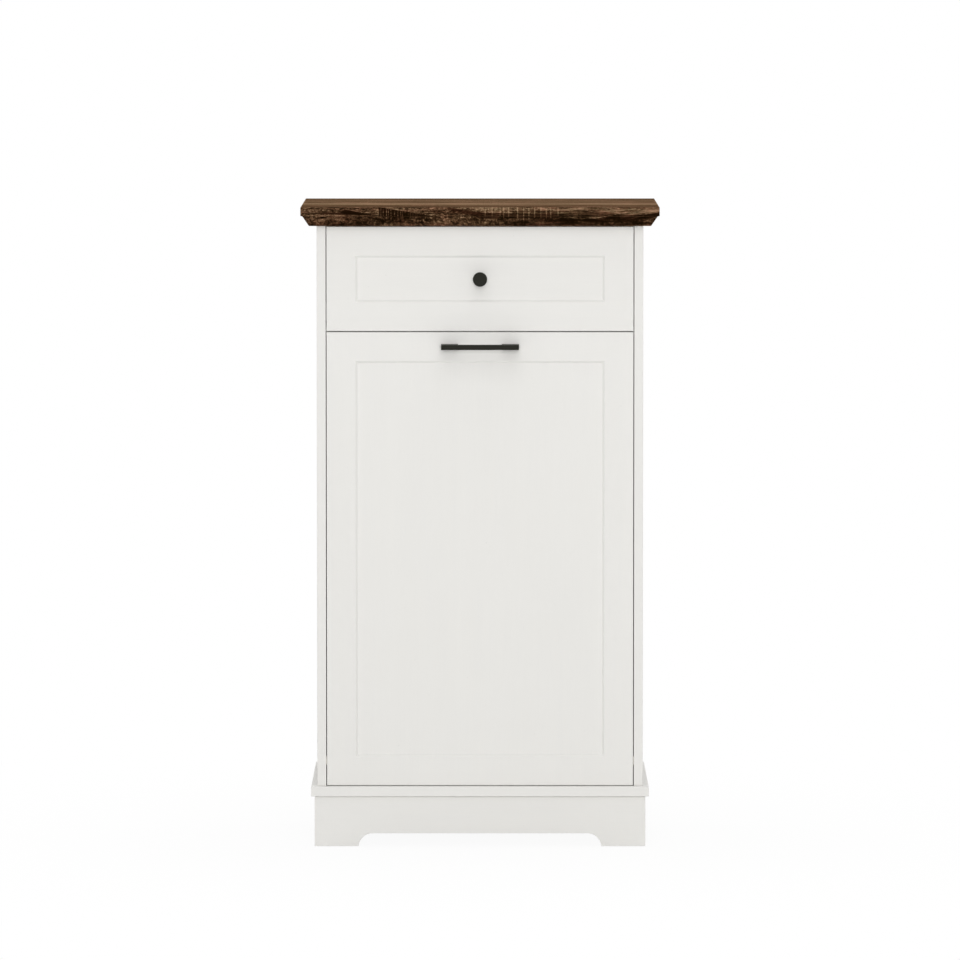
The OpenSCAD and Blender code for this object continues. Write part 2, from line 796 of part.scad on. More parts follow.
module at_drawer_axle(s) {
    on_side(s) translate([drawer_w / 2, drawer_axle_y, drawer_axle_z]) rotate([0, 90, 0]) children();
}

module case_runner_rivets() {
    color(steel) for (s = sides) at_case_axle(s) rivet();
}

module drawer_runner_rivets() {
    color(steel) for (s = sides) at_drawer_axle(s) rivet();
}

module case_roller_left() {
    color(nylon) at_case_axle(-1) roller();
}

module case_roller_right() {
    color(nylon) at_case_axle(1) roller();
}

module drawer_roller_left() {
    color(nylon) at_drawer_axle(-1) roller();
}

module drawer_roller_right() {
    color(nylon) at_drawer_axle(1) roller();
}

// Drawer

module drawer_bottom_shape(clear) {
    half = drawer_w / 2 - panel_t + groove_d + clear;
    block([-half, fronts_back_y - groove_d - clear, bottom_z - clear],
        [half, fronts_back_y + drawer_l + clear, bottom_z + bottom_t + clear]);
}

module drawer_front() {
    color(white) difference() {
        shaker_front(drawer_low_z, drawer_top_z);
        drawer_bottom_shape(groove_clear);
        cam_cuts(drawer_cams_at);
        translate([0, front_y - over, knob_z()]) rotate([-90, 0, 0])
            cylinder(d = pull_screw_d + 2 * hole_clear, h = front_t + 2 * over);
    }
}

function knob_z() = (drawer_low_z + drawer_top_z) / 2;

module drawer_side(s) {
    difference() {
        block([s * drawer_w / 2, fronts_back_y, drawer_z],
            [s * (drawer_w / 2 - panel_t), fronts_back_y + drawer_l, drawer_z + drawer_side_h]);
        drawer_bottom_shape(groove_clear);
        cam_cuts(drawer_cams_at);
        long_cuts(drawer_screws);
        small_cuts(drawer_runner_screws);
    }
}

module drawer_side_left() {
    color(white) drawer_side(-1);
}

module drawer_side_right() {
    color(white) drawer_side(1);
}

module drawer_back() {
    half = drawer_w / 2 - panel_t;
    y1 = fronts_back_y + drawer_l;
    color(white) difference() {
        block([-half, y1 - panel_t, bottom_z + bottom_t + groove_clear], [half, y1, drawer_z + drawer_side_h]);
        long_cuts(drawer_screws);
    }
}

module drawer_bottom() {
    color(white) drawer_bottom_shape(0);
}

module drawer_cams() {
    color(steel) for (c = drawer_cams_at) aim(c[0], c[1], c[2]) cam();
}

module drawer_cam_bolts() {
    color(steel) for (c = drawer_cams_at) aim(c[0], c[1], c[2]) cam_bolt();
}

module drawer_long_screws() {
    color(steel) for (s = drawer_screws) aim_screw(s) long_screw();
}

module drawer_small_screws() {
    color(steel) for (s = drawer_runner_screws) aim_screw(s) small_screw();
}

// The knob is turned about Y, with its foot on the routed panel
module knob() {
    foot_t = 1.6;
    flare_h = 1.5;
    cone_h = 2;
    dish = 0.5;
    head_y = knob_reach - knob_head_t;
    flare_y = head_y - cone_h;
    color(black) translate([0, front_y + recess_d, knob_z()]) rotate([90, 0, 0]) difference() {
        rotate_extrude($fn = 96) difference() {
            union() {
                polygon([[0, 0], [knob_foot_d / 2, 0], [knob_foot_d / 2, foot_t], [knob_neck_d / 2, foot_t + flare_h],
                    [knob_neck_d / 2, flare_y], [knob_d / 2 - knob_edge_r, head_y],
                    [knob_d / 2, head_y + knob_edge_r], [knob_d / 2, knob_reach - knob_edge_r],
                    [knob_d / 2 - knob_edge_r, knob_reach - knob_edge_r], [knob_d / 2 - knob_edge_r, knob_reach],
                    [0, knob_reach]]);
                translate([knob_d / 2 - knob_edge_r, knob_reach - knob_edge_r]) intersection() {
                    circle(r = knob_edge_r);
                    square(knob_edge_r);
                }
            }
            translate([0, knob_reach - dish]) square([knob_d / 2 - 2 * knob_edge_r, dish + over]);
        }
        translate([0, 0, -over]) cylinder(d = pull_screw_d + 2 * hole_clear, h = over + pull_screw_in + hole_clear);
    }
}

// A machine screw from behind a front: its head lies on the front's back
module pull_screw(x, z, board) {
    translate([x, fronts_back_y, z]) rotate([90, 0, 0]) {
        cylinder(d = pull_screw_d, h = board + pull_screw_in);
        translate([0, 0, -pull_head_t]) cylinder(d = pull_head_d, h = pull_head_t);
    }
}

module knob_screw() {
    color(steel) pull_screw(0, knob_z(), front_t - recess_d);
}

// Door and bin carrier

module door_panel() {
    color(white) difference() {
        shaker_front(door_low_z, door_top_z);
        cam_cuts(carrier_cams_at);
        aim_screw(strike_screw) sunk_cut();
        for (s = sides) {
            translate([s * pull_holes / 2, front_y - over, door_top_z - pull_drop]) rotate([-90, 0, 0])
                cylinder(d = pull_screw_d + 2 * hole_clear, h = front_t + 2 * over);
            on_side(s) translate([front_w / 2 - pin_embed - hole_clear, pivot_y, pivot_z]) rotate([0, 90, 0])
                cylinder(d = pin_d + 2 * hole_clear, h = pin_embed + hole_clear + over);
        }
    }
}

module pivot_pins() {
    color(steel) for (s = sides) on_side(s) translate([front_w / 2 - pin_embed, pivot_y, pivot_z])
        rotate([0, 90, 0]) cylinder(d = pin_d, h = pin_embed + side_gap + pin_engage);
}

module pivot_bushes() {
    color(nylon) for (s = sides) on_side(s) translate([inner_w / 2, pivot_y, pivot_z]) rotate([0, 90, 0])
        difference() {
            union() {
                cylinder(d = bush_d, h = bush_l);
                translate([0, 0, -bush_flange_t]) cylinder(d = bush_flange_d, h = bush_flange_t);
            }
            translate([0, 0, -bush_flange_t - over])
                cylinder(d = pin_d + 2 * running_clear, h = bush_flange_t + bush_l + 2 * over);
        }
}

module carrier_side_outline() {
    y1 = fronts_back_y + carrier_d;
    z1 = carrier_z + carrier_h;
    r = carrier_corner_r;
    translate([fronts_back_y, carrier_z]) square([carrier_d - r, carrier_h]);
    translate([fronts_back_y, carrier_z]) square([carrier_d, carrier_h - r]);
    translate([y1 - r, z1 - r]) circle(r = r, $fn = 180);
}

module carrier_side(s) {
    difference() {
        on_side(s) along_x(carrier_inner_w / 2, panel_t) carrier_side_outline();
        cam_cuts(carrier_cams_at);
        long_cuts(carrier_screws);
        small_cuts(stay_screws);
    }
}

module carrier_side_left() {
    color(white) carrier_side(-1);
}

module carrier_side_right() {
    color(white) carrier_side(1);
}

module carrier_bottom() {
    half = carrier_inner_w / 2;
    color(white) difference() {
        block([-half, fronts_back_y, carrier_z], [half, fronts_back_y + carrier_d, carrier_z + panel_t]);
        long_cuts(carrier_screws);
    }
}

module carrier_rear_rail() {
    half = carrier_inner_w / 2;
    y1 = fronts_back_y + carrier_d;
    color(white) difference() {
        block([-half, y1 - panel_t, rear_rail_top - rear_rail_h], [half, y1, rear_rail_top]);
        long_cuts(carrier_screws);
    }
}

module carrier_cams() {
    color(steel) for (c = carrier_cams_at) aim(c[0], c[1], c[2]) cam();
}

module carrier_cam_bolts() {
    color(steel) for (c = carrier_cams_at) aim(c[0], c[1], c[2]) cam_bolt();
}

module carrier_long_screws() {
    color(steel) for (s = carrier_screws) aim_screw(s) long_screw();
}

module door_small_screws() {
    color(steel) for (s = concat(stay_screws, [strike_screw])) aim_screw(s) small_screw();
}

// Tilt stays: a slotted plate on each carrier side runs over a stud on the side panel

module stay_outline() {
    difference() {
        union() {
            ring_sector(stay_r, stay_band_w, stay_low, stay_high);
            for (a = [stay_low, stay_high]) translate(stay_r * [cos(a), sin(a)]) circle(d = stay_eye_d);
        }
        ring_sector(stay_r, stud_hole_d + 2 * slot_relief, slot_low, stud_angle);
        for (a = [slot_low, stud_angle]) translate(stay_r * [cos(a), sin(a)]) circle(d = stud_hole_d);
        for (a = [stay_low, stay_high]) translate(stay_r * [cos(a), sin(a)]) circle(d = small_d + 2 * hole_clear);
    }
}

module stay_plate(s) {
    on_side(s) along_x(carrier_w / 2, stay_t) translate([pivot_y, pivot_z]) stay_outline();
}

module stay_plate_left() {
    color(steel) stay_plate(-1);
}

module stay_plate_right() {
    color(steel) stay_plate(1);
}

module stay_studs() {
    color(steel) for (s = sides) on_side(s) translate([inner_w / 2, stud_y(), stud_z()]) rotate([0, -90, 0]) {
        cylinder(d = stud_d, h = stay_space - stud_tip_gap);
        cylinder(d = stud_flange_d, h = stud_flange_t);
        translate([0, 0, -stud_tail_l]) cylinder(d = stud_d, h = stud_tail_l);
    }
}

module door_handle() {
    z = door_top_z - pull_drop;
    color(black) difference() {
        union() {
            block([-pull_l / 2, front_y - pull_reach, z - bar_h / 2],
                [pull_l / 2, front_y - pull_reach + bar_t, z + bar_h / 2]);
            for (s = sides) block([s * pull_l / 2, front_y - pull_reach, z - bar_h / 2],
                [s * (pull_l / 2 - pull_block_w), front_y, z + bar_h / 2]);
        }
        for (s = sides) translate([s * pull_holes / 2, front_y + over, z]) rotate([90, 0, 0])
            cylinder(d = pull_screw_d + 2 * hole_clear, h = over + pull_screw_in + hole_clear);
    }
}

module handle_screws() {
    color(steel) for (s = sides) pull_screw(s * pull_holes / 2, door_top_z - pull_drop, front_t);
}

// Magnetic catch

module catch_body() {
    y0 = catch_y;
    w = catch_w / 2 + ear_w;
    color(grey_plastic) difference() {
        union() {
            block([-catch_w / 2, y0, partition_z - catch_h], [catch_w / 2, y0 + catch_d, partition_z]);
            block([-w, y0, partition_z - ear_t], [w, y0 + catch_d, partition_z]);
        }
        small_cuts(catch_screws);
        poles(hole_clear);
    }
}

// The two pole plates, or with a clearance the slots that hold them
module poles(clear) {
    for (k = sides) {
        z = partition_z - catch_h / 2 + k * catch_h / 4;
        block([-pole_w / 2 - clear, catch_y - pole_out, z - pole_t / 2 - clear],
            [pole_w / 2 + clear, catch_y + pole_in + clear, z + pole_t / 2 + clear]);
    }
}

module catch_poles() {
    color(steel) poles(0);
}

module strike_plate() {
    color(steel) difference() {
        block([-strike_w / 2, fronts_back_y, strike_z - strike_h / 2],
            [strike_w / 2, fronts_back_y + strike_t, strike_z + strike_h / 2]);
        aim_screw(strike_screw) sunk_cut();
    }
}

top_slab();
side_panel_left();
side_panel_right();
back_panel();
base_board();
partition_board();
top_rail_front();
top_rail_rear();
plinth_front();
plinth_side_left();
plinth_side_right();
plinth_rear_rail();
corner_blocks();
case_cams();
case_cam_bolts();
case_long_screws();
case_small_screws();
case_runner_left();
case_runner_right();
case_runner_rivets();
pivot_bushes();
stay_studs();
catch_body();
catch_poles();
drawer_front();
drawer_side_left();
drawer_side_right();
drawer_back();
drawer_bottom();
drawer_cams();
drawer_cam_bolts();
drawer_long_screws();
drawer_small_screws();
drawer_runner_left();
drawer_runner_right();
drawer_runner_rivets();
knob();
knob_screw();
case_roller_left();
case_roller_right();
drawer_roller_left();
drawer_roller_right();
door_panel();
carrier_side_left();
carrier_side_right();
carrier_bottom();
carrier_rear_rail();
carrier_cams();
carrier_cam_bolts();
carrier_long_screws();
door_small_screws();
door_handle();
handle_screws();
pivot_pins();
stay_plate_left();
stay_plate_right();
strike_plate();
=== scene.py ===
import math

import bmesh
import bpy
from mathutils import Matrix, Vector


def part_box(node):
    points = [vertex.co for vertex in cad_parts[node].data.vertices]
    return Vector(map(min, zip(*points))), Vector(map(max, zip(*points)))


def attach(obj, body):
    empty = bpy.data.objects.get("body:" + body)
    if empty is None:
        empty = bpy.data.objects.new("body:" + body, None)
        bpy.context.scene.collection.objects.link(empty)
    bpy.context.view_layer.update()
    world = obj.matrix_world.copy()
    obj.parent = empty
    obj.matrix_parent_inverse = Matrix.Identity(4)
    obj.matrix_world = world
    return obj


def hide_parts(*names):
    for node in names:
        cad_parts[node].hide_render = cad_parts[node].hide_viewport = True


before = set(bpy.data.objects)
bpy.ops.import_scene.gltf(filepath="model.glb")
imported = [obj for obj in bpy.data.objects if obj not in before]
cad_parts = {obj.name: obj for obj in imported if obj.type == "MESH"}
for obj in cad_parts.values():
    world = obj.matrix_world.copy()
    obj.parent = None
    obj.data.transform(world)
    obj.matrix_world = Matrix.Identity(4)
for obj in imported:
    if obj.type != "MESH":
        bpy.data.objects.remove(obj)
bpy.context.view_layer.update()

MM = 0.001

# Places closer together than this count as the same
HAIR = 0.01 * MM

# Sizes of the fronts, the slab, the plinth and the hardware, as the real pieces have them
FRAME_W = 40 * MM
RECESS_D = 3 * MM
RECESS_SLOPE = 3 * MM
SLAB_STEP = 2.4 * MM
SLAB_BEVEL_W = 9.2 * MM
SLAB_BEVEL_H = 14 * MM
REBATE_W = 6 * MM
ARCH_H = 18 * MM
ARCH_R = 20 * MM
FOOT_W = 61 * MM
PULL_BLOCK_W = 23.6 * MM
BAR_T = 8 * MM
KNOB_FOOT_R = 6.5 * MM
KNOB_FOOT_T = 1.6 * MM
KNOB_NECK_R = 4.5 * MM
KNOB_HEAD_T = 8 * MM
KNOB_EDGE_R = 1.6 * MM
KNOB_FOOT_EASE = 0.4 * MM
KNOB_FLARE_D = 2 * MM
KNOB_RIM = 0.6 * MM
KNOB_DISH = 0.5 * MM

# How far the edges of each piece are rounded
SLAB_ROUND = 0.9 * MM
SIDE_ROUND = 0.7 * MM
BASE_TOP_ROUND = 1.6 * MM
BASE_ROUND = 0.6 * MM
PLINTH_TOP_ROUND = 2.2 * MM
PLINTH_ROUND = 0.8 * MM
FRONT_ROUND = 0.3 * MM
PULL_ROUND = 0.5 * MM
BOARD_EASE = 0.5 * MM
PINE_EASE = 0.8 * MM
RUNNER_EASE = 0.2 * MM
CATCH_EASE = 0.4 * MM
PLATE_EASE = 0.25 * MM

FRONT = Vector((0, -1, 0))
REAR = Vector((0, 1, 0))
LEFT = Vector((-1, 0, 0))
RIGHT = Vector((1, 0, 0))
DOWN = Vector((0, 0, -1))

slab_low, slab_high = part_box("top_slab")
slab_size = slab_high - slab_low
back_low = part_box("back_panel")[0]
front_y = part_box("side_panel_right")[0].y


# Camera and light

VIEW_DISTANCE = 11.32
EYE_HEIGHT = 1.2956
AIM_HEIGHT = 0.5109
LENS = 306.4
SENSOR_W = 36

WORLD_LIGHT = 0.34
LAMP_AIM = Vector((0, 0, 0.45))

# Name, place, side and power of each lamp
LAMPS = (
    ("front_key", (0.1, -5.0, 1.25), 1.3, 94),
    ("front_high", (0, -2.4, 2.6), 2.0, 17),
    ("left_fill", (-2.7, 1.5, 1.6), 2.0, 24),
    ("right_fill", (2.7, 1.5, 1.6), 2.0, 24),
    ("rear_fill", (0.4, 3.4, 1.7), 2.2, 26),
    ("top_fill", (0, 0, 3.2), 2.4, 22),
)

# The floor's side, and how far it lies under the feet
FLOOR_SIDE = 24
FLOOR_DROP = 0.5 * MM

# Its soft shadow: where it begins to fade, how far it fades, and how dark it is at most
SHADE_NEAR = 0.3
SHADE_FADE = 0.9
SHADE_DEPTH = 0.055


def add_camera():
    """A long lens far in front of the cabinet and above its slab, tipped down to the middle."""
    data = bpy.data.cameras.new("view")
    camera = bpy.data.objects.new("view", data)
    bpy.context.scene.collection.objects.link(camera)
    data.sensor_width = SENSOR_W
    data.lens = LENS
    camera.location = (0, front_y - VIEW_DISTANCE, EYE_HEIGHT)
    tip = math.atan2(EYE_HEIGHT - AIM_HEIGHT, VIEW_DISTANCE)
    camera.rotation_euler = (math.radians(90) - tip, 0, 0)
    bpy.context.scene.camera = camera


def add_softbox(name, place, side, power):
    """A square lamp that faces the middle of the cabinet."""
    data = bpy.data.lights.new(name, "AREA")
    data.shape = "SQUARE"
    data.size = side
    data.energy = power
    lamp = bpy.data.objects.new(name, data)
    bpy.context.scene.collection.objects.link(lamp)
    lamp.location = place
    lamp.rotation_euler = (LAMP_AIM - Vector(place)).to_track_quat("-Z", "Y").to_euler()
    lamp.visible_camera = False
    lamp.visible_glossy = False


# Material nodes

class Tap:
    """One output of a material's nodes. Sums written with it add Math nodes."""

    def __init__(self, finish, socket):
        self.finish = finish
        self.socket = socket

    def math(self, operation, *values):
        return self.finish.node("ShaderNodeMath", {"operation": operation}, dict(enumerate(values)))

    def __add__(self, other):
        return self.math("ADD", self, other)

    def __radd__(self, other):
        return self.math("ADD", other, self)

    def __sub__(self, other):
        return self.math("SUBTRACT", self, other)

    def __rsub__(self, other):
        return self.math("SUBTRACT", other, self)

    def __mul__(self, other):
        return self.math("MULTIPLY", self, other)

    def __rmul__(self, other):
        return self.math("MULTIPLY", other, self)

    def __truediv__(self, other):
        return self.math("DIVIDE", self, other)

    def __rtruediv__(self, other):
        return self.math("DIVIDE", other, self)

    def __gt__(self, other):
        return self.math("GREATER_THAN", self, other)

    def __lt__(self, other):
        return self.math("LESS_THAN", self, other)

    def __abs__(self):
        return self.math("ABSOLUTE", self)

    def root(self):
        return self.math("SQRT", self)

    def clamped(self):
        """The value, held between 0 and 1."""
        return self.math("MINIMUM", self.math("MAXIMUM", self, 0.0), 1.0)


class Finish:
    """A material and the nodes that make it."""

    def __init__(self, name):
        self.material = bpy.data.materials.new(name)
        self.material.use_nodes = True
        self.tree = self.material.node_tree
        self.tree.nodes.clear()

    def node(self, kind, settings=None, values=None, output=0):
        """Adds a node: its settings first, then the values or links of its sockets."""
        made = self.tree.nodes.new(kind)
        for key, value in (settings or {}).items():
            if key == "stops":
                while len(made.color_ramp.elements) < len(value):
                    made.color_ramp.elements.new(0.5)
                for element, (position, colour) in zip(made.color_ramp.elements, value):
                    element.position = position
                    element.color = (*colour, 1)
            else:
                setattr(made, key, value)
        for key, value in (values or {}).items():
            if isinstance(value, Tap):
                self.tree.links.new(value.socket, made.inputs[key])
            else:
                made.inputs[key].default_value = value
        return Tap(self, made.outputs[output] if made.outputs else None)

    def place(self):
        return self.node("ShaderNodeTexCoord", output="Object")

    def facing(self):
        return self.node("ShaderNodeTexCoord", output="Normal")

    def split(self, vector):
        """The X, Y and Z of a vector."""
        return [self.node("ShaderNodeSeparateXYZ", None, {"Vector": vector}, output=k)
                for k in range(3)]

    def join(self, x, y, z):
        return self.node("ShaderNodeCombineXYZ", None, {"X": x, "Y": y, "Z": z})

    def stretched(self, vector, scale, turn=(0, 0, 0)):
        return self.node("ShaderNodeMapping", None,
                         {"Vector": vector, "Scale": scale, "Rotation": turn})

    def noise(self, vector, scale=1.0, detail=3.0, roughness=0.5, distortion=0.0):
        return self.node("ShaderNodeTexNoise", None,
                         {"Vector": vector, "Scale": scale, "Detail": detail,
                          "Roughness": roughness, "Distortion": distortion})

    def cells(self, value, scale):
        """Distance to the nearest border of a row of uneven cells along a line."""
        return self.node("ShaderNodeTexVoronoi",
                         {"voronoi_dimensions": "1D", "feature": "DISTANCE_TO_EDGE"},
                         {"W": value, "Scale": scale})

    def ramp(self, value, *stops):
        return self.node("ShaderNodeValToRGB", {"stops": stops}, {"Fac": value})

    def tinted(self, colour, shade):
        """A colour made lighter or darker by a value."""
        return self.node("ShaderNodeVectorMath", {"operation": "SCALE"},
                         {0: colour, "Scale": shade})

    def scaled(self, colour, factors):
        """A colour with its red, green and blue each made stronger or weaker."""
        return self.node("ShaderNodeVectorMath", {"operation": "MULTIPLY"},
                         {0: colour, 1: factors})

    def mixed(self, share, first, second):
        """From the first colour at share 0 to the second at share 1."""
        return self.node("ShaderNodeMix", {"data_type": "RGBA"},
                         {0: share, 6: first, 7: second}, output=2)

    def bump(self, height, distance):
        return self.node("ShaderNodeBump", None,
                         {"Height": height, "Distance": distance, "Strength": 1.0})

    def shell(self, **sockets):
        """The surface itself. Sockets are named by their words joined with underscores."""
        values = {key.replace("_", " "): value for key, value in sockets.items()}
        surface = self.node("ShaderNodeBsdfPrincipled", None, values)
        self.node("ShaderNodeOutputMaterial", None, {"Surface": surface})
        return self.material


def greys(*stops):
    """Ramp stops of plain grey, from their places and values."""
    return [(place, (value, value, value)) for place, value in stops]


# Finishes

FOIL_WHITE = (0.790, 0.781, 0.757, 1)
FOIL_SHADE = (0.712, 0.694, 0.650, 1)

# The oak's colours, from its black cracks to its palest grain
OAK_STOPS = (
    (0.00, (0.009, 0.0038, 0.0012)),
    (0.20, (0.027, 0.0122, 0.0055)),
    (0.40, (0.058, 0.0285, 0.0140)),
    (0.60, (0.105, 0.0575, 0.0290)),
    (0.80, (0.165, 0.101, 0.0550)),
    (1.00, (0.320, 0.209, 0.122)),
)

# The four boards of the slab: the joints' distance from the front, and how light each board is,
# from the front edge at 0 to the rear edge at 1
BOARD_JOINTS = (0.088, 0.170, 0.262)
BOARD_TONES = greys((0.0, 0.64), (0.15, 0.67), (0.247, 0.74), (0.252, 0.91), (0.482, 0.96),
                    (0.487, 0.70), (0.60, 0.76), (0.744, 0.84), (0.749, 0.77), (1.0, 0.68))

# How light the slab's front edge is, from its bottom at 0 to its top at 1
EDGE_TONES = greys((0.0, 0.36), (0.30, 0.36), (0.50, 0.40), (0.62, 0.47), (0.86, 0.53), (1.0, 0.60))

# Broad darker and paler places of the slab's front edge: from, to, half height, softness,
# and how much paler
CLOUDS = (
    ((-0.262, 0.862), (-0.142, 0.862), 16.6 * MM, 6.6 * MM, -0.13),
    ((-0.158, 0.862), (0.042, 0.862), 16.6 * MM, 6.6 * MM, 0.15),
    ((0.022, 0.862), (0.132, 0.862), 16.6 * MM, 6.6 * MM, -0.13),
    ((0.020, 0.8803), (0.150, 0.8803), 4.0 * MM, 3.3 * MM, 0.12),
    ((0.165, 0.876), (0.262, 0.876), 7.0 * MM, 4.0 * MM, -0.11),
    ((-0.215, 0.894), (-0.020, 0.894), 12.0 * MM, 4.5 * MM, -0.12),
    ((0.025, 0.894), (0.125, 0.894), 12.0 * MM, 4.5 * MM, -0.09),
)

# Light lines of the grain on the right of the slab's front edge: from, to, and half height
# at either end
GLINTS = (
    ((0.108, 0.8770), (0.143, 0.8732), 0.4 * MM, 0.8 * MM),
    ((0.139, 0.8732), (0.205, 0.8838), 0.8 * MM, 0.5 * MM),
    ((0.198, 0.8822), (0.244, 0.8845), 0.5 * MM, 0.6 * MM),
    ((0.096, 0.8886), (0.150, 0.8855), 0.5 * MM, 0.3 * MM),
    ((0.144, 0.8842), (0.216, 0.8876), 0.3 * MM, 0.6 * MM),
    ((0.193, 0.8698), (0.227, 0.8786), 0.3 * MM, 0.6 * MM),
    ((0.225, 0.8694), (0.247, 0.8776), 0.3 * MM, 0.6 * MM),
)


def white_foil(name, along):
    """White foil printed and embossed with a faint grain that runs along X, Y or Z."""
    def scale(slow, fast):
        return tuple(slow if axis == along else fast for axis in "XYZ")

    f = Finish(name)
    place = f.place()
    broad = f.noise(f.stretched(place, scale(2.5, 28)), detail=3, roughness=0.6)
    streak = f.noise(f.stretched(place, scale(5, 130)), detail=4, roughness=0.6)
    fibre = f.noise(f.stretched(place, scale(22, 900)), detail=3, roughness=0.6)
    cloud = f.noise(place, scale=7, detail=2)
    pore = (f.noise(f.stretched(place, scale(75, 520)), detail=2) - 0.735) * 14
    speck = (f.noise(f.stretched(place, scale(190, 330)), detail=1) - 0.80) * 20
    shade = 1 + (broad - 0.5) * 0.030 + (streak - 0.5) * 0.040
    shade = shade + (fibre - 0.5) * 0.030 + (cloud - 0.5) * 0.020
    shade = shade - pore.clamped() * 0.05 - speck.clamped() * 0.08
    hue = f.mixed(((streak + cloud) * 0.5 - 0.35) * 0.5, FOIL_WHITE, FOIL_SHADE)
    return f.shell(
        Base_Color=f.tinted(hue, shade),
        Roughness=0.46 + (fibre - 0.5) * 0.12,
        Specular_IOR_Level=0.3,
        Normal=f.bump(fibre * 0.7 + streak * 0.5 - pore.clamped() * 0.5, 0.00006),
    )


def wedge(x, z, start, end, half_start, half_end, ragged, soft=0.8 * MM, point=0.0):
    """A tapered streak between two places (X, Z) of the slab's front edge, 1 inside and 0 outside.

    Over the share of its length that point gives, it grows from nothing to its full height.
    """
    run = ((x - start[0]) / (end[0] - start[0])).clamped()
    middle = start[1] + run * (end[1] - start[1])
    half = half_start + run * (half_end - half_start)
    if point:
        half = half * (run / point).clamped()
    body = ((half + ragged - abs(z - middle)) / soft).clamped()
    ends = ((x - start[0]) / (2 * soft)).clamped() * ((end[0] - x) / (2 * soft)).clamped()
    return body * ends


def rustic_oak():
    """Dark sawn oak: four boards side by side, and an edge with streaks, swirls and saw marks."""
    f = Finish("rustic_oak")
    x, y, z = f.split(f.place())
    nx, ny = f.split(f.facing())[:2]
    on_end = abs(nx) > abs(ny)
    on_front = ny < -0.5
    depth = y - slab_low.y
    inward = slab_high.x - abs(x)
    board = 0
    for joint in BOARD_JOINTS:
        board = (depth > joint) + board
    along = x + on_end * (y - x) + board * 0.83
    across = depth + on_end * (inward - depth) + (z - slab_high.z)

    # The grain, from long streaks to small flecks
    drift = f.noise(f.join(along * 7, across * 38, 0), detail=3, roughness=0.55) - 0.5
    bent = across + drift * 0.011
    streak = f.noise(f.join(along * 5, bent * 170, 0), detail=5, roughness=0.62) - 0.5
    fibre = f.noise(f.join(along * 30, bent * 850, 0), detail=3, roughness=0.6) - 0.5
    figure = f.noise(f.join(along * 24, bent * 150, 3),
                     detail=4, roughness=0.6, distortion=0.9) - 0.5
    curl = f.noise(f.join(along * 95, bent * 400, 5),
                   detail=3, roughness=0.6, distortion=1.6) - 0.5
    fleck = f.noise(f.join(along * 230, bent * 620, 9),
                    detail=2, roughness=0.6, distortion=1.0) - 0.5
    patch = f.noise(f.join(along * 9, across * 40, 7), detail=2) - 0.5
    line = streak * 0.95 + fibre * 0.55
    vein = (1 - abs(figure + curl * 0.6) / 0.022).clamped()
    dark_vein = (1 - abs(figure - curl * 0.5 + 0.06) / 0.020).clamped()

    # The boards, with dark cracks and rows of saw marks
    tone = f.ramp(depth / slab_size.y, *BOARD_TONES)
    crack = (f.noise(f.join(along * 6, bent * 75, 11), detail=2, roughness=0.5) - 0.615) * 16
    marks = (1 - f.cells(along, 120) / 0.10).clamped() * ((patch - 0.06) * 12).clamped()
    whole = tone + line * 0.95 + figure * 0.55 + curl * 0.45 + fleck * 0.45 + patch * 0.45
    whole = whole + marks * 0.16 - crack.clamped() * 0.36 - dark_vein * 0.10

    # The front edge, from its bottom at 0 to its top at 1, and its streaks from left to right
    up = (z - slab_low.z) / slab_size.z
    edge = f.ramp(up, *EDGE_TONES)
    ragged = figure * 0.005 + fibre * 0.002
    broad = 0
    for start, end, half, soft, lighter in CLOUDS:
        broad = wedge(x, z, start, end, half, half, ragged, soft=soft) * lighter + broad
    streak_left = wedge(x, z, (-0.247, 0.8824), (-0.160, 0.8812), 1.1 * MM, 1.9 * MM, ragged * 0.6)
    black_left = wedge(x, z, (-0.197, 0.8845), (-0.148, 0.8798), 4.6 * MM, 0.8 * MM,
                       ragged * 0.5, point=0.25)
    comb = wedge(x, z, (-0.141, 0.8838), (-0.064, 0.8776), 7.2 * MM, 1.0 * MM, ragged * 0.6)
    halo = wedge(x, z, (-0.146, 0.8856), (-0.056, 0.8795), 8.6 * MM, 1.8 * MM, ragged) - comb
    pale = wedge(x, z, (-0.070, 0.8780), (-0.012, 0.8740), 7.0 * MM, 5.0 * MM, ragged, soft=2 * MM)
    brown_mid = wedge(x, z, (-0.046, 0.8888), (0.004, 0.8790), 0.6 * MM, 4.8 * MM, ragged)
    brown_band = wedge(x, z, (0.000, 0.8785), (0.114, 0.8785), 4.6 * MM, 3.6 * MM, ragged)
    saw_zone = wedge(x, z, (0.004, 0.8832), (0.118, 0.8832), 8.0 * MM, 8.0 * MM, curl * 0.02)
    low_right = wedge(x, z, (0.030, 0.8680), (0.250, 0.8690), 3.0 * MM, 5.5 * MM,
                      ragged, soft=2 * MM)
    black_right = wedge(x, z, (0.180, 0.8700), (0.249, 0.8808), 3.2 * MM, 3.4 * MM,
                        ragged * 0.5, point=0.3)

    # Pale teeth of the comb, saw marks, and light lines that sway with the grain
    teeth = (1 - f.cells(x + curl * 0.0012, 270) / 0.22).clamped() * ((-0.074 - x) * 26).clamped()
    teeth = teeth * (0.55 + fleck * 3.0 + curl * 2.0).clamped()
    saw = (1 - f.cells(x, 120) / 0.13).clamped()
    sway = f.noise(f.join(x * 26, 0, 21), detail=2) - 0.5
    wave = z + sway * 0.007
    glint = 0
    for start, end, half_start, half_end in GLINTS:
        glint = wedge(x, wave, start, end, half_start, half_end, 0, soft=0.5 * MM) + glint
    shadow = wedge(x, wave, (0.120, 0.8712), (0.244, 0.8800), 1.2 * MM, 1.6 * MM, 0, soft=1.0 * MM)

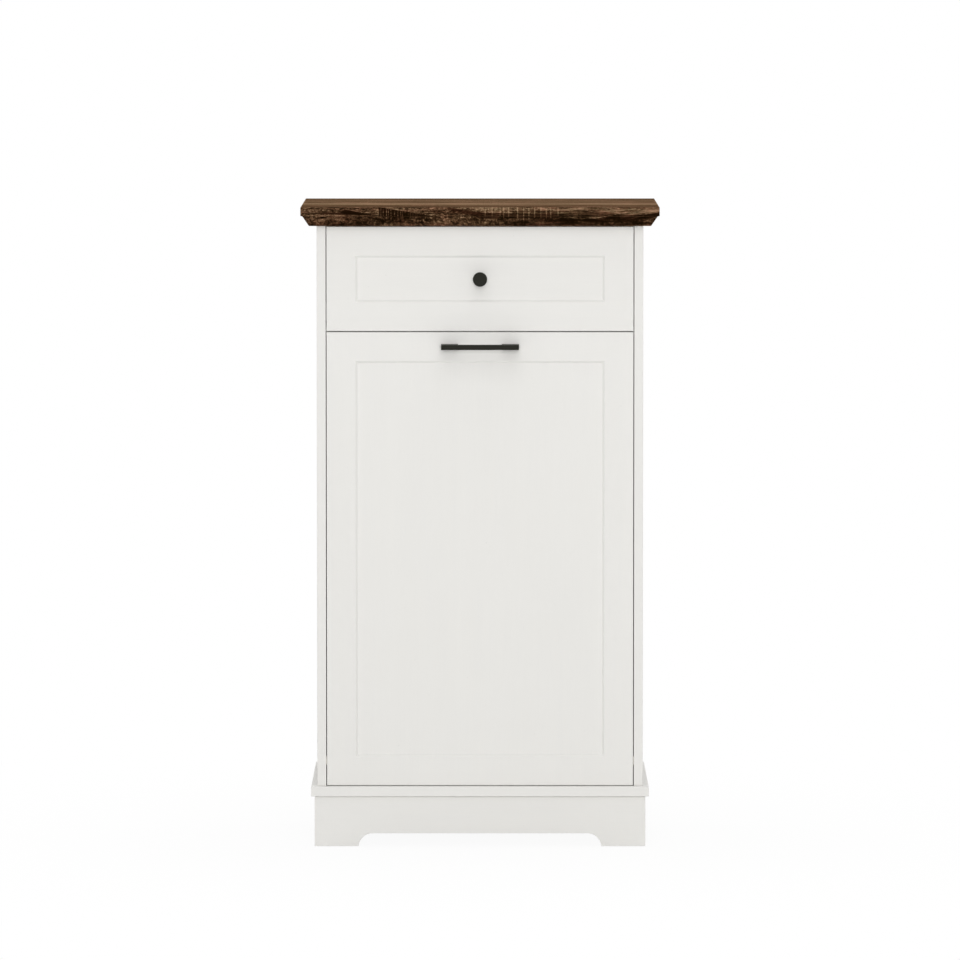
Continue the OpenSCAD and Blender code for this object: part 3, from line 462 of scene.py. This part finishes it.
    # All of it together: curly and flecked on the left, calmer with longer lines on the right
    calm = (((x - slab_low.x) / slab_size.x - 0.46) * 3).clamped()
    front = line * (1.65 + calm * 0.75) + figure * 0.70
    front = front + curl * (1.35 - calm * 0.55) + fleck * (1.65 - calm * 1.05)
    front = front * (1 + up * 0.25) + patch * 0.60 + edge + broad
    front = (front + vein * 0.30 - dark_vein * 0.30 + pale * 0.12 - low_right * 0.17
             + halo.clamped() * 0.20)
    front = front * (1 - black_left * 0.95) * (1 - black_right * 0.75) * (1 - comb * 0.88)
    front = front * (1 - streak_left * 0.70)
    front = front * (1 - (brown_mid + brown_band).clamped() * 0.60)
    front = front + comb * teeth * (0.85 + fleck) + saw * saw_zone * (0.50 + fleck)
    front = front * (1 - shadow * 0.35) + glint.clamped() * (0.56 + fleck * 0.8)

    value = (whole + on_front * (front - whole)).clamped()
    colour = f.ramp(value, *OAK_STOPS)
    warmth = figure + curl * 0.8 + patch * 0.5 + on_front * brown_mid * 0.2
    red = f.mixed(((warmth + 0.02) * 5).clamped() * 0.7,
                  colour, f.scaled(colour, (1.10, 0.86, 0.90)))
    colour = f.mixed(((-1 * warmth - 0.03) * 5).clamped() * 0.7,
                     red, f.scaled(colour, (0.90, 1.05, 0.98)))
    return f.shell(
        Base_Color=colour,
        Roughness=0.62 - value * 0.10 + fibre * 0.2,
        Specular_IOR_Level=0.0,
        Normal=f.bump(value * 0.6 + fibre * 0.6, 0.00018),
    )


def hardboard():
    """The back panel: bare brown fibreboard behind, white paper on the face inside the cabinet."""
    f = Finish("hardboard")
    place = f.place()
    facing_y = f.split(f.facing())[1]
    fibres = f.noise(f.stretched(place, (260, 260, 200), (0, 0.5, 0)), detail=5, roughness=0.7)
    chips = f.noise(f.stretched(place, (45, 45, 70)), detail=3, roughness=0.6, distortion=1.5)
    cloud = f.noise(place, scale=5, detail=2)
    shade = 0.78 + fibres * 0.26 + chips * 0.18 + (cloud - 0.5) * 0.16
    bare = f.tinted((0.335, 0.222, 0.128), shade)
    paper = f.tinted((0.72, 0.71, 0.68), 0.97 + fibres * 0.06)
    return f.shell(
        Base_Color=f.mixed(facing_y < -0.5, bare, paper),
        Roughness=0.62 + (fibres - 0.5) * 0.2,
        Specular_IOR_Level=0.3,
        Normal=f.bump(fibres, 0.00012),
    )


def pine():
    """Planed softwood with growth lines along X, for the blocks and the rail inside the plinth."""
    f = Finish("pine")
    place = f.place()
    bend = f.noise(f.stretched(place, (3, 20, 20)), detail=2) - 0.5
    rings = f.noise(f.stretched(place, (3, 160, 160)), detail=4, roughness=0.6, distortion=0.6)
    fibre = f.noise(f.stretched(place, (30, 900, 900)), detail=2)
    colour = f.ramp(rings + bend * 0.2, (0.30, (0.33, 0.19, 0.090)), (0.48, (0.53, 0.35, 0.19)),
                    (0.72, (0.64, 0.46, 0.28)))
    return f.shell(
        Base_Color=f.tinted(colour, 0.92 + fibre * 0.16),
        Roughness=0.60 + (fibre - 0.5) * 0.2,
        Specular_IOR_Level=0.3,
        Normal=f.bump(fibre + rings * 0.5, 0.0001),
    )


def powder_coat():
    """Matt black powder coat with a fine orange peel, a little paler where hands rub it."""
    f = Finish("black_powder_coat")
    place = f.place()
    peel = f.noise(place, scale=1500, detail=2)
    cloud = f.noise(place, scale=60, detail=3, roughness=0.6)
    dust = (f.noise(place, scale=2600, detail=1) - 0.66) * 8
    shade = 0.85 + cloud * 0.25 + peel * 0.10 + dust.clamped() * 0.8
    return f.shell(
        Base_Color=f.tinted((0.0148, 0.0148, 0.0108), shade),
        Roughness=0.44 + (cloud - 0.5) * 0.16 + (peel - 0.5) * 0.10,
        Specular_IOR_Level=0.16,
        Normal=f.bump(peel, 0.00006),
    )


def zinc():
    """Zinc-plated steel, faintly blue and yellow, with short rolling scratches."""
    f = Finish("zinc_plate")
    place = f.place()
    cloud = f.noise(place, scale=45, detail=4, roughness=0.65)
    spangle = f.noise(place, scale=420, detail=3, roughness=0.6)
    scratch = f.noise(f.stretched(place, (90, 90, 2200)), detail=3, roughness=0.7)
    colour = f.ramp(cloud, (0.32, (0.28, 0.295, 0.32)), (0.50, (0.36, 0.365, 0.37)),
                    (0.68, (0.39, 0.38, 0.34)))
    return f.shell(
        Base_Color=f.tinted(colour, 0.90 + spangle * 0.12 + scratch * 0.06),
        Metallic=1.0,
        Roughness=0.30 + (spangle - 0.5) * 0.20 + (scratch - 0.5) * 0.14,
        Normal=f.bump(scratch + spangle * 0.5, 0.00002),
    )


def epoxy():
    """White epoxy on steel runners, with rub lines where the rollers pass."""
    f = Finish("white_epoxy")
    place = f.place()
    peel = f.noise(place, scale=700, detail=2)
    cloud = f.noise(place, scale=25, detail=3)
    rub = (f.noise(f.stretched(place, (260, 3, 260)), detail=3, roughness=0.6) - 0.60) * 6
    return f.shell(
        Base_Color=f.tinted((0.74, 0.74, 0.72), 0.96 + cloud * 0.06 - rub.clamped() * 0.10),
        Roughness=0.30 + (peel - 0.5) * 0.10 + rub.clamped() * 0.14,
        Specular_IOR_Level=0.45,
        Normal=f.bump(peel, 0.00004),
    )


def nylon():
    """Natural nylon of the rollers and bushes, milky and a little uneven."""
    f = Finish("natural_nylon")
    place = f.place()
    cloud = f.noise(place, scale=130, detail=3, roughness=0.6)
    grain = f.noise(place, scale=1300, detail=2)
    return f.shell(
        Base_Color=f.tinted((0.76, 0.735, 0.66), 0.94 + cloud * 0.10 + grain * 0.03),
        Roughness=0.40 + (cloud - 0.5) * 0.16 + (grain - 0.5) * 0.08,
        Specular_IOR_Level=0.4,
        Normal=f.bump(grain, 0.00004),
    )


def moulded_grey():
    """Grey moulded plastic of the magnetic catch, with a fine spark-eroded texture."""
    f = Finish("moulded_grey")
    place = f.place()
    grain = f.noise(place, scale=1700, detail=2)
    cloud = f.noise(place, scale=90, detail=2)
    return f.shell(
        Base_Color=f.tinted((0.27, 0.275, 0.28), 0.90 + cloud * 0.12 + grain * 0.08),
        Roughness=0.48 + (grain - 0.5) * 0.16,
        Specular_IOR_Level=0.4,
        Normal=f.bump(grain, 0.00005),
    )


FOIL_UP = white_foil("white_foil_upright", "Z")
FOIL_WIDE = white_foil("white_foil_crosswise", "X")
FOIL_DEEP = white_foil("white_foil_lengthwise", "Y")
OAK = rustic_oak()
HARDBOARD = hardboard()
PINE = pine()
BLACK = powder_coat()
ZINC = zinc()
EPOXY = epoxy()
NYLON = nylon()
GREY = moulded_grey()


# Modelling, by hand-tool steps

def select_alone(piece):
    bpy.ops.object.select_all(action="DESELECT")
    piece.select_set(True)
    bpy.context.view_layer.objects.active = piece


def start_box(name, low, high):
    """A block between two corners, to be shaped further."""
    bpy.ops.object.select_all(action="DESELECT")
    bpy.ops.mesh.primitive_cube_add(size=1, location=(low + high) / 2)
    piece = bpy.context.object
    piece.name = piece.data.name = name
    piece.scale = high - low
    bpy.ops.object.transform_apply(location=True, rotation=True, scale=True)
    return piece


def edit(piece):
    select_alone(piece)
    bpy.ops.object.mode_set(mode="EDIT")
    bpy.ops.mesh.select_all(action="SELECT")


def leave():
    bpy.ops.object.mode_set(mode="OBJECT")


def pick_faces(piece, wanted):
    """In edit mode, selects only the faces that wanted(normal, middle) says yes to."""
    bpy.ops.mesh.select_mode(type="FACE")
    bpy.ops.mesh.select_all(action="DESELECT")
    shape = bmesh.from_edit_mesh(piece.data)
    for face in shape.faces:
        if wanted(face.normal, face.calc_center_median()):
            face.select_set(True)
    bmesh.update_edit_mesh(piece.data)


def pick_edges(piece, wanted):
    """In edit mode, selects only the edges that wanted(one end, other end) says yes to."""
    bpy.ops.mesh.select_mode(type="EDGE")
    bpy.ops.mesh.select_all(action="DESELECT")
    shape = bmesh.from_edit_mesh(piece.data)
    for edge in shape.edges:
        if wanted(edge.verts[0].co, edge.verts[1].co):
            edge.select_set(True)
    bmesh.update_edit_mesh(piece.data)


def faces(normal, way):
    """Whether a face looks a certain way."""
    return normal.dot(way) > 0.99


def on_top(a, b, high):
    """Whether an edge lies in the upper face of a board."""
    return min(a.z, b.z) > high.z - HAIR


def score(through, normal):
    """In edit mode, splits all faces along a plane without taking anything away."""
    bpy.ops.mesh.select_all(action="SELECT")
    bpy.ops.mesh.bisect(plane_co=through, plane_no=normal)


def push(distance):
    """Extrudes the selected faces by a vector."""
    bpy.ops.mesh.extrude_region_move(TRANSFORM_OT_translate={"value": distance})


def apply_modifier(piece, kind, **settings):
    select_alone(piece)
    modifier = piece.modifiers.new(kind.lower(), kind)
    for key, value in settings.items():
        setattr(modifier, key, value)
    bpy.ops.object.modifier_apply(modifier=modifier.name)


def round_edges(piece, width, segments=3, angle=30):
    """Rounds every sharp edge a little and keeps the flats flat."""
    apply_modifier(piece, "BEVEL", width=width, segments=segments, limit_method="ANGLE",
                   angle_limit=math.radians(angle), use_clamp_overlap=True)
    bpy.ops.object.shade_smooth_by_angle(angle=math.radians(50))
    apply_modifier(piece, "WEIGHTED_NORMAL", keep_sharp=True)


def seat(piece, node, body, material):
    """The finished piece takes a node's place on its body."""
    piece.data.materials.clear()
    piece.data.materials.append(material)
    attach(piece, body)
    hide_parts(node)


# Carcass

def model_slab():
    """The slab: an upright edge, and a step and a bevel drawn down from it. The rear is square."""
    step_z = slab_low.z + SLAB_BEVEL_H
    slab = start_box("worktop_slab", Vector((slab_low.x, slab_low.y, step_z)), slab_high)
    edit(slab)
    step_x = slab_high.x - SLAB_STEP
    step_y = slab_low.y + SLAB_STEP
    score((-step_x, 0, 0), RIGHT)
    score((step_x, 0, 0), RIGHT)
    score((0, step_y, 0), REAR)
    pick_faces(slab, lambda normal, middle: faces(normal, DOWN) and abs(middle.x) < step_x
               and middle.y > step_y)
    push(DOWN * SLAB_BEVEL_H)
    for way, wall in ((LEFT, step_x), (RIGHT, step_x), (FRONT, -step_y)):
        pick_edges(slab, lambda a, b: max(a.z, b.z) < slab_low.z + HAIR
                   and min(a.dot(way), b.dot(way)) > wall - HAIR)
        bpy.ops.transform.translate(value=-way * SLAB_BEVEL_W)
    leave()
    round_edges(slab, SLAB_ROUND)
    seat(slab, "top_slab", "case", OAK)


def model_side(name, node, side):
    """A side panel with the rebate that the back panel sits in."""
    low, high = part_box(node)
    panel = start_box(name, low, Vector((high.x, back_low.y, high.z)))
    inner_x = low.x if side > 0 else high.x
    rebate_x = inner_x + side * REBATE_W
    edit(panel)
    score((rebate_x, 0, 0), RIGHT)
    pick_faces(panel, lambda normal, middle: faces(normal, REAR)
               and side * (middle.x - rebate_x) > 0)
    push(REAR * (high.y - back_low.y))
    leave()
    round_edges(panel, SIDE_ROUND)
    seat(panel, node, "case", FOIL_UP)


def model_base_board():
    """The base board, with its upper edge rounded at the front and the sides."""
    low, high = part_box("base_board")
    board = start_box("base_shelf", low, high)
    edit(board)
    pick_edges(board, lambda a, b: on_top(a, b, high) and min(a.y, b.y) <= high.y - HAIR)
    bpy.ops.mesh.bevel(offset=BASE_TOP_ROUND, segments=4, affect="EDGES")
    leave()
    round_edges(board, BASE_ROUND, angle=50)
    seat(board, "base_board", "case", FOIL_WIDE)


def arch_cutter(low, high, way):
    """A block with two round upper corners that cuts an arch through a board along way."""
    cutter = start_box("arch_cutter", low, high)
    edit(cutter)
    pick_edges(cutter, lambda a, b: on_top(a, b, high) and abs((a - b).normalized().dot(way)) > 0.9)
    bpy.ops.mesh.bevel(offset=ARCH_R, segments=14, affect="EDGES")
    leave()
    return cutter


def cut_arch(board, cutter):
    apply_modifier(board, "BOOLEAN", object=cutter, operation="DIFFERENCE", solver="EXACT")
    bpy.data.objects.remove(cutter, do_unlink=True)


def ease_top(board, high, outer):
    """Rounds the upper edges that show under the base board's overhang."""
    edit(board)
    pick_edges(board, lambda a, b: on_top(a, b, high) and outer((a + b) / 2))
    bpy.ops.mesh.bevel(offset=PLINTH_TOP_ROUND, segments=5, affect="EDGES")
    leave()


def model_plinth():
    """Three plinth boards, each with its arch."""
    over = 5 * MM
    arch_foot = ARCH_H - 2 * ARCH_R
    low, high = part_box("plinth_front")
    front_face = low.y
    board = start_box("plinth_face", low, high)
    ease_top(board, high, lambda middle: middle.y < high.y - HAIR)
    half = high.x - FOOT_W
    cut_arch(board, arch_cutter(Vector((-half, low.y - over, arch_foot)),
                                Vector((half, high.y + over, ARCH_H)), REAR))
    round_edges(board, PLINTH_ROUND)
    seat(board, "plinth_front", "case", FOIL_WIDE)
    for name, node in (("plinth_left", "plinth_side_left"), ("plinth_right", "plinth_side_right")):
        low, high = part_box(node)
        board = start_box(name, low, high)
        reach = max(abs(low.x), abs(high.x))
        ease_top(board, high, lambda middle: abs(middle.x) > reach - HAIR)
        cut_arch(board, arch_cutter(Vector((low.x - over, front_face + FOOT_W, arch_foot)),
                                    Vector((high.x + over, high.y - FOOT_W, ARCH_H)), RIGHT))
        round_edges(board, PLINTH_ROUND)
        seat(board, node, "case", FOIL_DEEP)


# Fronts

def model_front(name, node, body, material):
    """A routed front: the frame is inset, and the panel is pushed in with a sloped wall."""
    low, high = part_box(node)
    board = start_box(name, low, high)
    edit(board)
    pick_faces(board, lambda normal, middle: faces(normal, FRONT))
    bpy.ops.mesh.inset(thickness=FRAME_W, depth=0)
    bpy.ops.mesh.inset(thickness=RECESS_SLOPE, depth=-RECESS_D)
    leave()
    round_edges(board, FRONT_ROUND, angle=20)
    seat(board, node, body, material)


def model_pull():
    """The door handle: a flat bar whose two ends are drawn back to the door."""
    low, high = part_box("door_handle")
    bar = start_box("door_pull", low, Vector((high.x, low.y + BAR_T, high.z)))
    block_x = high.x - PULL_BLOCK_W
    edit(bar)
    for x in (-block_x, block_x):
        score((x, 0, 0), RIGHT)
    pick_faces(bar, lambda normal, middle: faces(normal, REAR) and abs(middle.x) > block_x)
    push(REAR * (high.y - low.y - BAR_T))
    leave()
    round_edges(bar, PULL_ROUND)
    seat(bar, "door_handle", "door", BLACK)


def quarter(steps, first=0):
    """The sine and cosine at even steps over a quarter turn that starts after first degrees."""
    for step in range(1, steps + 1):
        turn = math.radians(first + 90 * step / steps)
        yield math.sin(turn), math.cos(turn)


def knob_rings(reach, radius):
    """Depth and radius of each ring from the foot to the middle of the face."""
    head = reach - KNOB_HEAD_T
    foot_r = KNOB_FOOT_R - KNOB_FOOT_EASE
    edge_r = radius - KNOB_EDGE_R
    rings = [(0, KNOB_FOOT_R), (KNOB_FOOT_T - KNOB_FOOT_EASE, KNOB_FOOT_R), (KNOB_FOOT_T, foot_r)]
    flare = foot_r - KNOB_NECK_R
    for sine, cosine in quarter(4):
        rings.append((KNOB_FOOT_T + flare * (1 - cosine), KNOB_NECK_R + flare * (1 - sine)))
    rings.append((head - KNOB_FLARE_D, KNOB_NECK_R))
    for sine, cosine in quarter(6):
        rings.append((head - KNOB_FLARE_D * (1 - sine),
                      KNOB_NECK_R + (edge_r - KNOB_NECK_R) * (1 - cosine)))
    for centre, first in ((head + KNOB_EDGE_R, -90), (reach - KNOB_EDGE_R, 0)):
        for sine, cosine in quarter(6, first):
            rings.append((centre + KNOB_EDGE_R * sine, edge_r + KNOB_EDGE_R * cosine))
    rings.append((reach, edge_r - KNOB_EDGE_R))
    rings.append((reach - KNOB_DISH, edge_r - KNOB_EDGE_R - KNOB_RIM))
    return rings


def model_knob():
    """The knob is drawn out ring by ring from a disc at its foot, as a lathe would leave it."""
    low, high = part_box("knob")
    middle = (low + high) / 2
    foot = Vector((middle.x, high.y, middle.z))
    bpy.ops.object.select_all(action="DESELECT")
    bpy.ops.mesh.primitive_circle_add(vertices=72, radius=KNOB_FOOT_R, fill_type="NGON",
                                      location=foot, rotation=(math.radians(90), 0, 0))
    knob = bpy.context.object
    knob.name = knob.data.name = "drawer_knob"
    bpy.ops.object.transform_apply(location=True, rotation=True, scale=True)
    rings = knob_rings(high.y - low.y, high.x - middle.x)
    edit(knob)
    for (depth, radius), (next_depth, next_radius) in zip(rings, rings[1:]):
        push(FRONT * (next_depth - depth))
        share = next_radius / radius
        bpy.ops.transform.resize(value=(share, 1, share), center_override=foot + FRONT * next_depth)
    bpy.ops.mesh.select_all(action="SELECT")
    bpy.ops.mesh.normals_make_consistent(inside=False)
    leave()
    select_alone(knob)
    bpy.ops.object.shade_smooth_by_angle(angle=math.radians(40))
    seat(knob, "knob", "drawer", BLACK)


# The nodes that keep their own shape

def finish_nodes(material, *names):
    for name in names:
        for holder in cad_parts[name].material_slots:
            holder.material = material


def ease_edges(width, *names):
    """A sawn board or a sheet part loses its knife edges."""
    for name in names:
        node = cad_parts[name]
        weld = node.modifiers.new("weld", "WELD")
        weld.merge_threshold = HAIR
        bevel = node.modifiers.new("ease", "BEVEL")
        bevel.width = width
        bevel.segments = 2
        bevel.limit_method = "ANGLE"
        bevel.angle_limit = math.radians(40)


# Floor and world

def add_floor():
    """A pale floor. The camera sees it white, with a soft shadow close round the cabinet."""
    bpy.ops.object.select_all(action="DESELECT")
    bpy.ops.mesh.primitive_plane_add(size=FLOOR_SIDE, location=(0, 0, -FLOOR_DROP))
    floor = bpy.context.object
    floor.name = floor.data.name = "floor"
    f = Finish("pale_floor")
    x, y = f.split(f.place())[:2]
    away = (x * x + y * y).root()
    near = (1 - (away - SHADE_NEAR) / SHADE_FADE).clamped()
    seen = f.node("ShaderNodeLightPath", output="Is Camera Ray")
    mirrored = f.node("ShaderNodeLightPath", output="Is Glossy Ray")
    through = f.node("ShaderNodeLightPath", output="Is Transmission Ray")
    share = (seen + mirrored + through).clamped() * (1 - near * near * SHADE_DEPTH)
    plain = f.node("ShaderNodeBsdfDiffuse", None, {"Color": (0.82, 0.82, 0.81, 1)})
    white = f.node("ShaderNodeEmission", None, {"Color": (1, 1, 1, 1), "Strength": 1.0})
    both = f.node("ShaderNodeMixShader", None, {0: share, 1: plain, 2: white})
    f.node("ShaderNodeOutputMaterial", None, {"Surface": both})
    floor.data.materials.append(f.material)


def add_world(level):
    """White where it is seen or mirrored, and a plain soft light otherwise."""
    world = bpy.data.worlds.new("studio")
    bpy.context.scene.world = world
    world.use_nodes = True
    tree = world.node_tree
    tree.nodes.clear()
    path = tree.nodes.new("ShaderNodeLightPath")
    total = path.outputs["Is Camera Ray"]
    for name in ("Is Glossy Ray", "Is Transmission Ray"):
        step = tree.nodes.new("ShaderNodeMath")
        step.operation = "MAXIMUM"
        tree.links.new(total, step.inputs[0])
        tree.links.new(path.outputs[name], step.inputs[1])
        total = step.outputs[0]
    light = tree.nodes.new("ShaderNodeBackground")
    light.inputs["Strength"].default_value = level
    white = tree.nodes.new("ShaderNodeBackground")
    white.inputs["Strength"].default_value = 1.0
    for background in (light, white):
        background.inputs["Color"].default_value = (1, 1, 1, 1)
    mix = tree.nodes.new("ShaderNodeMixShader")
    tree.links.new(total, mix.inputs[0])
    tree.links.new(light.outputs[0], mix.inputs[1])
    tree.links.new(white.outputs[0], mix.inputs[2])
    tree.links.new(mix.outputs[0], tree.nodes.new("ShaderNodeOutputWorld").inputs["Surface"])


# The view first, then the pieces from the slab down, then the nodes that stay

add_camera()
bpy.context.scene.view_settings.view_transform = "Standard"
add_world(WORLD_LIGHT)
for lamp in LAMPS:
    add_softbox(*lamp)
add_floor()

model_slab()
model_side("left_side_board", "side_panel_left", -1)
model_side("right_side_board", "side_panel_right", 1)
model_base_board()
model_plinth()
model_front("drawer_face", "drawer_front", "drawer", FOIL_WIDE)
model_front("door_face", "door_panel", "door", FOIL_UP)
model_pull()
model_knob()

# Material, eased edge and names of the nodes that keep their own shape
NODE_FINISHES = (
    (FOIL_DEEP, BOARD_EASE, ("partition_board", "drawer_side_left", "drawer_side_right",
                             "drawer_bottom", "carrier_bottom")),
    (FOIL_WIDE, BOARD_EASE, ("top_rail_front", "top_rail_rear", "drawer_back",
                             "carrier_rear_rail")),
    (FOIL_UP, BOARD_EASE, ("carrier_side_left", "carrier_side_right")),
    (HARDBOARD, 0, ("back_panel",)),
    (PINE, PINE_EASE, ("plinth_rear_rail", "corner_blocks")),
    (EPOXY, RUNNER_EASE, ("case_runner_left", "case_runner_right",
                          "drawer_runner_left", "drawer_runner_right")),
    (NYLON, 0, ("case_roller_left", "case_roller_right", "drawer_roller_left",
                "drawer_roller_right", "pivot_bushes")),
    (GREY, CATCH_EASE, ("catch_body",)),
    (ZINC, PLATE_EASE, ("stay_plate_left", "stay_plate_right", "strike_plate")),
    (ZINC, 0, ("case_cams", "case_cam_bolts", "case_long_screws", "case_small_screws",
               "case_runner_rivets", "stay_studs", "catch_poles", "drawer_cams",
               "drawer_cam_bolts", "drawer_long_screws", "drawer_small_screws",
               "drawer_runner_rivets", "knob_screw", "carrier_cams", "carrier_cam_bolts",
               "carrier_long_screws", "door_small_screws", "handle_screws", "pivot_pins")),
)
for material, width, names in NODE_FINISHES:
    finish_nodes(material, *names)
    if width:
        ease_edges(width, *names)
